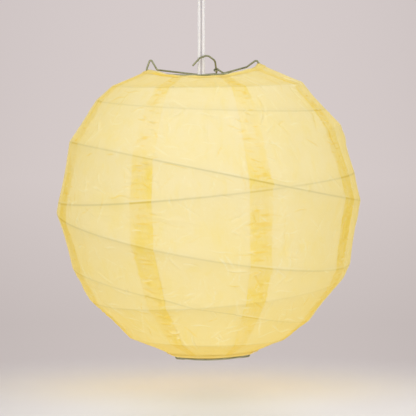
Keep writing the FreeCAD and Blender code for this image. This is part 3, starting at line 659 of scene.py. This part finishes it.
def meridian(azimuth, lift, rows):
    """Seven lists for evenly spaced rows down one meridian.

    They are the radius, the height, the outward direction's radial and upright parts, the distance to the
    nearest place where the paper is held out, the run from the rim, and how strongly a hoop's painted shade
    shows through.
    """
    chain = knots_at(azimuth, lift)
    radius, height = [], []
    for (ar, az), (br, bz) in zip(chain, chain[1:]):
        length = math.hypot(br - ar, bz - az)
        count = max(2, int(round(length / FINE_MM)))
        t = np.arange(count) / count
        sag = min(0.0003 * length * length, 1.0) * 4 * t * (1 - t)
        outward = ((az - bz) / length, (br - ar) / length)
        radius.append(ar + (br - ar) * t - sag * outward[0])
        height.append(az + (bz - az) * t - sag * outward[1])
    radius = np.append(np.concatenate(radius), chain[-1, 0])
    height = np.append(np.concatenate(height), chain[-1, 1])
    pad = len(SOFTEN) // 2
    smooth = []
    for values in (radius, height):
        padded = np.pad(values, pad, mode="reflect", reflect_type="odd")
        smooth.append(np.convolve(padded, SOFTEN, "valid"))
    steps = np.hypot(np.diff(smooth[0]), np.diff(smooth[1]))
    along = np.concatenate([[0], np.cumsum(steps)])
    wanted = np.linspace(0, along[-1], rows)
    radius = np.interp(wanted, along, smooth[0])
    height = np.interp(wanted, along, smooth[1])
    dr, dz = np.gradient(radius), np.gradient(height)
    size = np.hypot(dr, dz)
    near = np.full(rows, 1e3)
    for kr, kz in chain[1:-1]:
        near = np.minimum(near, np.hypot(radius - kr, height - kz))
    line = np.zeros(rows)
    rise = np.arctan2(height, radius)
    # painted shade where each hoop lies behind the paper, fainter where the paper stands off it
    for number, hoop in enumerate(HOOPS):
        kr, kz = hoop_at(hoop, azimuth, HOOP_WIRE_MM + PAPER_OFF_HOOP_MM + lift)
        gap = OUTER_MM * np.abs(rise - math.atan2(kz, kr))
        off = np.interp(math.atan2(kz, kr), rise[::-1], np.hypot(radius, height)[::-1]) - math.hypot(kr, kz)
        faint = 0.82 + 0.18 * math.sin(3.1 * azimuth + 2.3 * number)
        shade = hoop[4] * faint * math.exp(-max(off, 0.0) / 5.0)
        line = np.maximum(line, shade * np.exp(-((gap / 0.75) ** 2)))
    return radius, height, -dz / size, dr / size, near, wanted, line


# creases: degrees from the front and height of one end, the same of the other, depth inwards, width and
# painted shade along it, with heights, depth and width in millimetres
CREASES = [
    (63.0, 74, 65.5, 56, 1.1, 1.5, 0.9),
    (62.0, 84, 63.5, 72, 0.6, 1.2, 0.5),
    (63.5, -14, 63.8, -38, 0.8, 1.1, 0.7),
    (65.3, -16, 65.6, -34, -0.5, 1.0, 0.0),
    (62.8, -44, 62.9, -56, 0.7, 1.1, 0.6),
    (-24.0, 0, -3.0, -9, -0.35, 1.4, 0.0),
    (-22.0, -3, -8.0, -13, 0.35, 1.2, 0.1),
    (-20.0, -8, -12.0, -20, -0.30, 1.3, 0.0),
    (-3.0, 40, 9.0, 26, 0.30, 1.5, 0.1),
    (16.6, 1, 18.2, -13, 0.7, 1.2, 0.5),
    (14.0, 69, 21.5, 67, 0.5, 1.3, 0.4),
    (18.0, 92, 18.6, 66, -0.5, 1.4, 0.0),
    (24.0, 94, 33.0, 72, -0.40, 1.6, 0.0),
    (27.0, 95, 38.0, 70, 0.45, 1.6, 0.1),
    (31.0, 90, 41.0, 48, -0.35, 1.7, 0.0),
    (26.0, 76, 30.0, 40, 0.40, 1.5, 0.1),
    (36.0, 60, 40.0, 36, 0.35, 1.5, 0.0),
    (-30.0, 42, -22.5, 44, 0.40, 1.2, 0.3),
    (-31.0, 36, -23.0, 37, -0.35, 1.2, 0.0),
    (-33.0, 26, -24.0, 31, 0.45, 1.2, 0.3),
    (-34.0, 18, -26.0, 14, 0.35, 1.2, 0.1),
    (-30.0, 66, -23.0, 74, 0.35, 1.3, 0.2),
    (-26.0, 104, -23.0, 116, 0.35, 1.2, 0.4),
    (-29.0, -70, -24.0, -76, 0.40, 1.3, 0.4),
    (-27.0, -80, -22.0, -86, 0.35, 1.3, 0.3),
    (17.0, -58, 22.0, -74, 0.5, 1.4, 0.5),
    (19.0, -76, 26.0, -90, -0.5, 1.3, 0.2),
    (18.0, -86, 24.0, -94, 0.5, 1.2, 0.6),
    (29.5, 4, 29.9, -48, 0.5, 1.1, 0.2),
    (20.0, -3, 29.0, -5, 0.35, 1.1, 0.2),
    (19.0, -17, 28.0, -19, 0.35, 1.1, 0.1),
    (21.0, -36, 27.0, -35, 0.30, 1.1, 0.2),
]


CRINKLE_COUNT = 1500


def crinkles():
    """Short random creases all round, closer together and more level on the seams, mostly steep between them."""
    pick = np.random.default_rng(17)
    made = []
    for _ in range(CRINKLE_COUNT):
        aside = pick.uniform(-180, 180)
        height = pick.uniform(-128, 122)
        off_seam = abs((aside - FIRST_SEAM - 90.0 + GORE_SPAN / 2) % GORE_SPAN - GORE_SPAN / 2)
        on_seam = off_seam < LAP / 2 + 1
        if not on_seam and off_seam > LAP and pick.random() < 0.45:
            continue
        if on_seam or pick.random() < 0.35:
            tilt = math.radians(pick.normal(0, 18))
        else:
            tilt = math.radians(pick.normal(62, 26) * pick.choice([-1, 1]))
        length = pick.uniform(5, 12) if on_seam else pick.uniform(7, 24)
        scale = math.radians(1.0) * math.sqrt(max(152.0 ** 2 - height ** 2, 900.0))
        across, up = 0.5 * length * math.cos(tilt) / scale, 0.5 * length * math.sin(tilt)
        depth = pick.normal(0, 0.48)
        width = pick.uniform(0.7, 1.2)
        kind = pick.random()
        # deeper sets painted shade along the crease, paler a painted highlight
        deeper = pick.uniform(0.20, 0.60) if kind < (0.45 if on_seam else 0.16) else 0.0
        paler = pick.uniform(0.40, 1.0) if deeper == 0.0 else 0.0
        made.append((aside - across, height - up, aside + across, height + up, depth, width, deeper, paler))
    return made


ALL_CREASES = [crease + (0.0,) for crease in CREASES] + crinkles()


def crease_fields(azimuth_deg, radius, height):
    """How far the creases push the paper out, and how much painted shade or painted highlight lies along them.
    """
    push = np.zeros_like(radius)
    painted_shade_marks = np.zeros_like(radius)
    pale = np.zeros_like(radius)
    aside = signed(azimuth_deg + 90.0)
    for a0, h0, a1, h1, depth, width, deeper, paler in ALL_CREASES:
        columns = np.abs(aside[:, 0] - (a0 + a1) / 2) < abs(a1 - a0) / 2 + 3
        if not columns.any():
            continue
        part = np.ix_(columns, np.abs(height[columns].mean(0) - (h0 + h1) / 2) < abs(h1 - h0) / 2 + 8)
        scale = np.radians(1.0) * radius[part]
        px, pz = (aside[part] - a0) * scale, height[part] - h0
        qx, qz = (a1 - a0) * scale, float(h1 - h0)
        wobble = 0.7 * np.sin(pz * 0.55 + px * 0.35 + a0)
        steep = abs(qz) / (abs(qz) + np.abs(qx) + 1e-6)
        t = np.clip((px * qx + pz * qz) / (qx * qx + qz * qz), 0, 1)
        gap = np.hypot(px - t * qx + wobble * steep, pz - t * qz + wobble * (1 - steep))
        ends = np.sin(np.pi * np.clip(t, 0.04, 0.96)) ** 0.5
        push[part] -= depth * np.exp(-((gap / width) ** 2)) * ends
        mark = np.exp(-((gap / (0.6 * width)) ** 2)) * ends
        painted_shade_marks[part] = np.maximum(painted_shade_marks[part], deeper * mark)
        pale[part] = np.maximum(pale[part], paler * mark)
    return push, painted_shade_marks, pale


def slit(points):
    """Where the expander's wire goes through the paper, beside the two rings."""
    local = (points - np.array(SHADE_CENTRE)) @ np.array(SHADE_PLACE.to_3x3()) * 1000.0
    across = np.abs(local[:, 0])
    thin = np.abs(local[:, 1]) < 1.9
    top = (across > 51) & (across < 61) & (local[:, 2] > 129)
    low = (across > 34) & (across < 43) & (local[:, 2] < -145.5)
    return thin & (top | low)


# how clearly the glued laps show: degrees from the front, half width, height, half height, change
SEAM_PATCHES = [
    (21.0, 12.0, 78.0, 36.0, -0.80),
    (-28.0, 12.0, 84.0, 36.0, -0.78),
    (21.0, 12.0, 12.0, 12.0, -0.35),
    (-28.0, 12.0, -2.0, 8.0, -0.30),
    (65.0, 16.0, 90.0, 40.0, 0.45),
    (65.0, 16.0, 0.0, 45.0, 0.30),
    (21.0, 12.0, -95.0, 30.0, 0.30),
    (-28.0, 12.0, 35.0, 10.0, 0.30),
]


def seam_shows(azimuth_deg, height):
    """How clearly a glued lap shows there, 1 where nothing changes it."""
    front = signed(azimuth_deg + 90.0)
    shows = np.ones_like(height)
    for centre, width, middle, tall, change in SEAM_PATCHES:
        shows += change * np.exp(-(((front - centre) / width) ** 4) - ((height - middle) / tall) ** 4)
    return np.clip(shows, 0.12, 1.5)


ROWS = 600
GORE_COLUMNS = 97


def gore(index):
    """One paper gore and its two laps; every second one lies a layer further out."""
    start = FIRST_SEAM + index * GORE_SPAN - LAP / 2
    angles = np.linspace(start, start + GORE_SPAN + LAP, GORE_COLUMNS)
    lift = LAYER_MM if index % 2 == 0 else 0.0
    lines = [meridian(math.radians(a), lift, ROWS) for a in angles]
    radius, height, out_r, out_z, near, along, wire = (np.array(rows) for rows in zip(*lines))
    azimuth = np.repeat(angles[:, None], ROWS, 1)
    round_share = azimuth / 360.0
    down_share = along / along[:, -1:]
    calm = np.clip(near / 7.0, 0, 1) ** 0.7
    edge = np.minimum(azimuth - angles[0], angles[-1] - azimuth)
    ragged = 0.35 * lattice_noise(round_share, down_share, 200, 90, 9)
    lap = np.clip((LAP - edge + ragged) / 0.35, 0, 1) * seam_shows(azimuth, height)
    seam = np.exp(-(((edge - LAP / 2) / (0.62 * LAP)) ** 2))
    patch = np.clip(lattice_noise(round_share, down_share, 26, 12, 11) + 0.15, 0, 1)
    streak = lattice_noise(round_share, down_share, 64, 120, 3)
    fine = lattice_noise(round_share, down_share, 150, 230, 5)
    puff = lattice_noise(round_share, down_share, 30, 14, 8)
    pucker = lattice_noise(round_share, down_share, 90, 150, 21)
    push, painted_shade_marks, pale = crease_fields(azimuth, radius, height)
    push = push + calm * (0.30 * streak * patch + 0.10 * fine * patch + 0.45 * puff + 0.34 * pucker * seam)
    radius = radius + push * out_r
    height = height + push * out_z
    turn = np.radians(azimuth)
    points = hung(np.stack([radius * np.cos(turn), radius * np.sin(turn), height], -1))
    # painted shade in the puckers along the seams
    painted_shade_marks = np.maximum(painted_shade_marks, 0.55 * np.clip(pucker * seam * 2.2 - 1.0, 0, 1))
    rim = np.clip(1 - np.minimum(along, along[:, -1:] - along) / 2.0, 0, 1)
    # painted shade of a hoop's line where it crosses a lap
    painted_shade_marks = np.maximum(painted_shade_marks, 0.75 * wire * lap)
    # painted highlight just beside each hoop's line
    beside = np.clip(lattice_noise(round_share, down_share, 40, 30, 14) + 0.2, 0, 1)
    pale = np.maximum(pale, 0.9 * beside * np.roll(wire, -3, axis=1) * (1 - wire))
    doubled = np.clip(lap * 0.62 + rim * 0.3, 0, 1)
    fields = {"lap": doubled, "wire": WIRE_SHADE_STRENGTH * wire, "fold": painted_shade_marks, "light": pale}
    uv = np.stack([np.radians(azimuth) * 0.151, along * 0.001], -1)
    piece = sheet_mesh("gore_" + str(index + 1), points, uv, fields, slit)
    piece.data.materials.append(SHADE_PAPER)
    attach(piece, "lantern")
    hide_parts("paper_gore_" + str(index + 1))
    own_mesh(piece)


for number in range(GORES):
    gore(number)


def hem(name, body, node, section, columns, wobble, seed, glue):
    """A glued paper strip along an opening's edge.

    section(azimuth) gives the radius and height of its points, wobble how ragged its free edge is in
    millimetres, and glue(degrees from the front) how much deeper its colour is.
    """
    angles = np.linspace(0, 2 * math.pi, columns)
    places = np.array([section(a) for a in angles])
    share = np.repeat((angles / (2 * math.pi))[:, None], places.shape[1], 1)
    down = np.repeat(np.linspace(0, 1, places.shape[1])[None, :], columns, 0)
    ragged = lattice_noise(share, down, 110, 3, seed)
    lift = wobble * ragged * np.clip(down * 1.6 - 0.2, 0, 1)
    radius = places[..., 0] + lift
    height = places[..., 1] + 0.5 * lift
    turn = angles[:, None]
    points = hung(np.stack([radius * np.cos(turn), radius * np.sin(turn), height], -1))
    points[-1] = points[0]
    step = np.concatenate([[0], np.cumsum(np.hypot(*np.diff(places[0], axis=0).T))])
    uv_around = np.repeat(angles[:, None] * places[0, 0, 0] * 0.001, len(step), 1)
    uv_down = np.repeat(step[None, :] * 0.001, columns, 0)
    worn = np.clip(lattice_noise(share, down, 60, 2, seed + 1) * 1.4 - 0.35, 0, 0.8)
    soaked = np.clip(glue(np.degrees(angles) + 90.0), 0, 1)[:, None] * (down > 0.55)
    zero = np.zeros_like(worn)
    fields = {"lap": zero + 0.2, "wire": zero, "fold": 0.25 * worn + 0.8 * soaked, "light": zero}
    piece = sheet_mesh(name, points, np.stack([uv_around, uv_down], -1), fields, slit)
    piece.data.materials.append(HEM_PAPER)
    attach(piece, body)
    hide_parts(node)


# radius and height, from the hem's edge, of the part tucked in behind each ring, in millimetres
TOP_TUCK_MM = ((-3.9, -5.2), (-4.0, -3.6), (-4.0, -1.8), (-3.6, -0.2), (-2.8, 0.75))
BOTTOM_TUCK_MM = ((-0.9, -0.3), (-1.5, 0.4), (-1.4, 1.6), (-1.1, 2.9))


def top_section(azimuth):
    """The top hem's section: tucked in under the ring, over it, and down the outside."""
    edge, height = rim_place(azimuth)
    chain = knots_at(azimuth, LAYER_MM)
    slope = chain[1] - chain[0]
    slope = slope / np.hypot(*slope)
    up = np.array([-slope[1], slope[0]])
    if up[1] < 0:
        up = -up
    start = np.array([edge, height])
    outside = [start + slope * (s - 1.2) + up * (0.30 if s > 1 else 0.45) for s in np.linspace(0, 6.5, 9)]
    inside = [start + np.array(offset) for offset in TOP_TUCK_MM]
    return np.array(inside + outside)


def bottom_section(azimuth):
    """The bottom hem's section: down the outside, under the ring, and tucked in behind it."""
    chain = knots_at(azimuth, LAYER_MM)
    slope = chain[-2] - chain[-1]
    slope = slope / np.hypot(*slope)
    down = np.array([slope[1], -slope[0]])
    if down[1] > 0:
        down = -down
    start = chain[-1]
    outside = [start + slope * s + down * 0.45 for s in np.linspace(8.0, 0, 9)]
    inside = [start + np.array(offset) for offset in BOTTOM_TUCK_MM]
    return np.array(outside + inside)


def front_bump(front, centre, width):
    """1 at the centre, falling away steeply past width."""
    return np.exp(-((signed(front - centre) / width) ** 4))


def top_glue(front):
    """Deeper colour where glue soaked the top hem, left of the front and by the right hook."""
    left, right, behind = front_bump(front, -42, 17), front_bump(front, 40, 30), front_bump(front, 140, 30)
    return 0.9 * left + 0.35 * right + 0.5 * behind


def bottom_glue(front):
    """The same for the bottom hem, just left of the front, at the right and behind."""
    left, right, behind = front_bump(front, -12, 22), front_bump(front, 80, 14), front_bump(front, 200, 50)
    return 0.8 * left + 0.6 * right + 0.4 * behind


hem("hem_top", "lantern", "top_hem", top_section, 361, 0.25, 31, top_glue)
hem("hem_bottom", "bottom", "bottom_hem", bottom_section, 301, 0.2, 41, bottom_glue)
